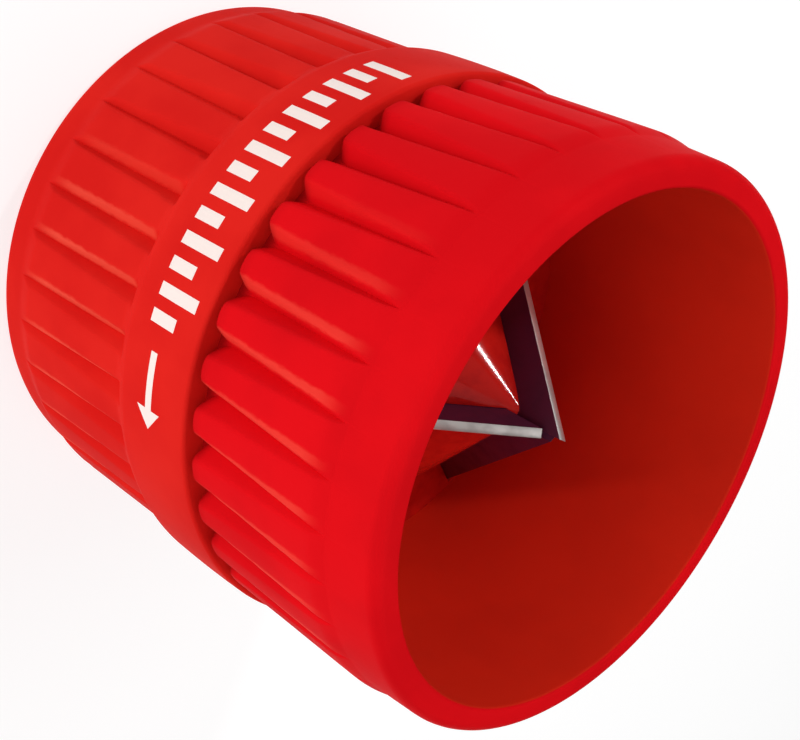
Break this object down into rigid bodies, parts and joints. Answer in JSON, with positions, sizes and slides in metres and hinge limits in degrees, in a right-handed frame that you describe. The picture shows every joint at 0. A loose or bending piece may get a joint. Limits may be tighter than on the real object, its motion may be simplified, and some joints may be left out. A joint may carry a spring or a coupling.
{
  "type": "pipe deburring tool",
  "caption": "Hand deburring tool with a ribbed barrel; blades through a cone ream the inside of a tube end at one rim and trim its outside at the other.",
  "frame": {"origin": "centre of the rear rim's flat end face, on which the tool stands", "axes": "+Z along the barrel's axis towards the reaming cone's mouth; +Y through the long blade; +X completes the right-handed set"},
  "size_m": [0.0584, 0.0584, 0.058],
  "materials": {
    "shell_plastic": "satin red moulded plastic with white printed marks round the band",
    "carrier_plastic": "polished red moulded plastic",
    "blade_steel": "hardened steel with ground edges",
    "pin_steel": "bright drawn steel",
    "screw_steel": "bright zinc plate"
  },
  "bodies": {
    "root": {"front_shell": "shell_plastic", "rear_shell": "shell_plastic", "reaming_cone": "carrier_plastic", "chamfering_funnel": "carrier_plastic", "blade_long": "blade_steel", "blade_short_1": "blade_steel", "blade_short_2": "blade_steel", "blade_pin_1": "pin_steel", "blade_pin_2": "pin_steel", "blade_pin_3": "pin_steel", "clamp_screw_1": "screw_steel", "clamp_screw_2": "screw_steel", "clamp_screw_3": "screw_steel"}
  },
  "joints": []
}
